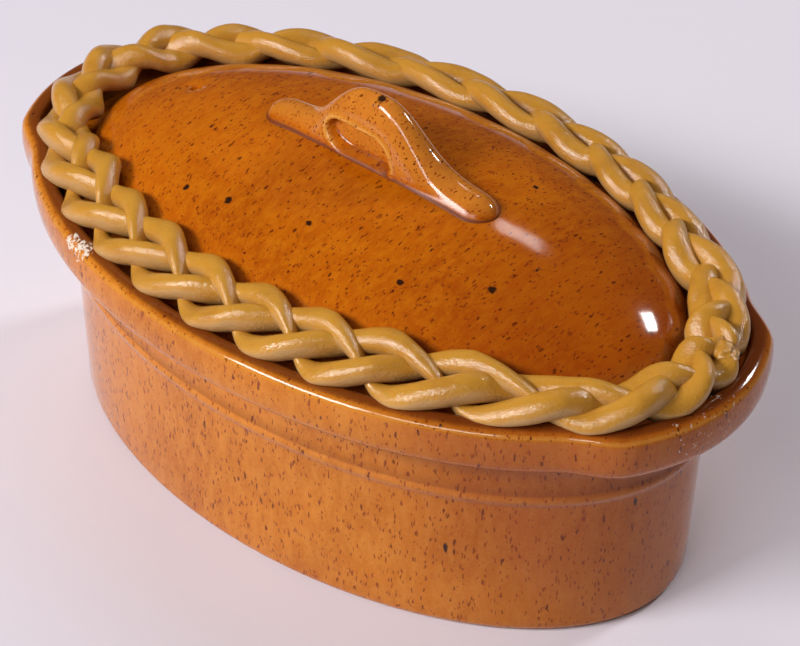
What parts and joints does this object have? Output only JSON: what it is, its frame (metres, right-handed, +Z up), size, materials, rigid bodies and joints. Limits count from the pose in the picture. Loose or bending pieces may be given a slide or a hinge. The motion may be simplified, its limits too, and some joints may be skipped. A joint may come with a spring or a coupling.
{
  "type": "terrine dish",
  "caption": "Oval lidded terrine dish of glazed stoneware with end lugs, a domed lid with a pinched ridge handle and a vent, sealed with a baked plait of dough.",
  "frame": {"origin": "centre of the foot ring's underside, on the table", "axes": "+X along the dish's length towards the end away from the lid's vent, +Y across it, +Z up"},
  "size_m": [0.3334, 0.204, 0.1632],
  "materials": {
    "glaze": "gloss",
    "dough": "satin"
  },
  "bodies": {
    "root": {"dish": "glaze", "lid": "glaze", "dough_plait": "dough"}
  },
  "joints": []
}
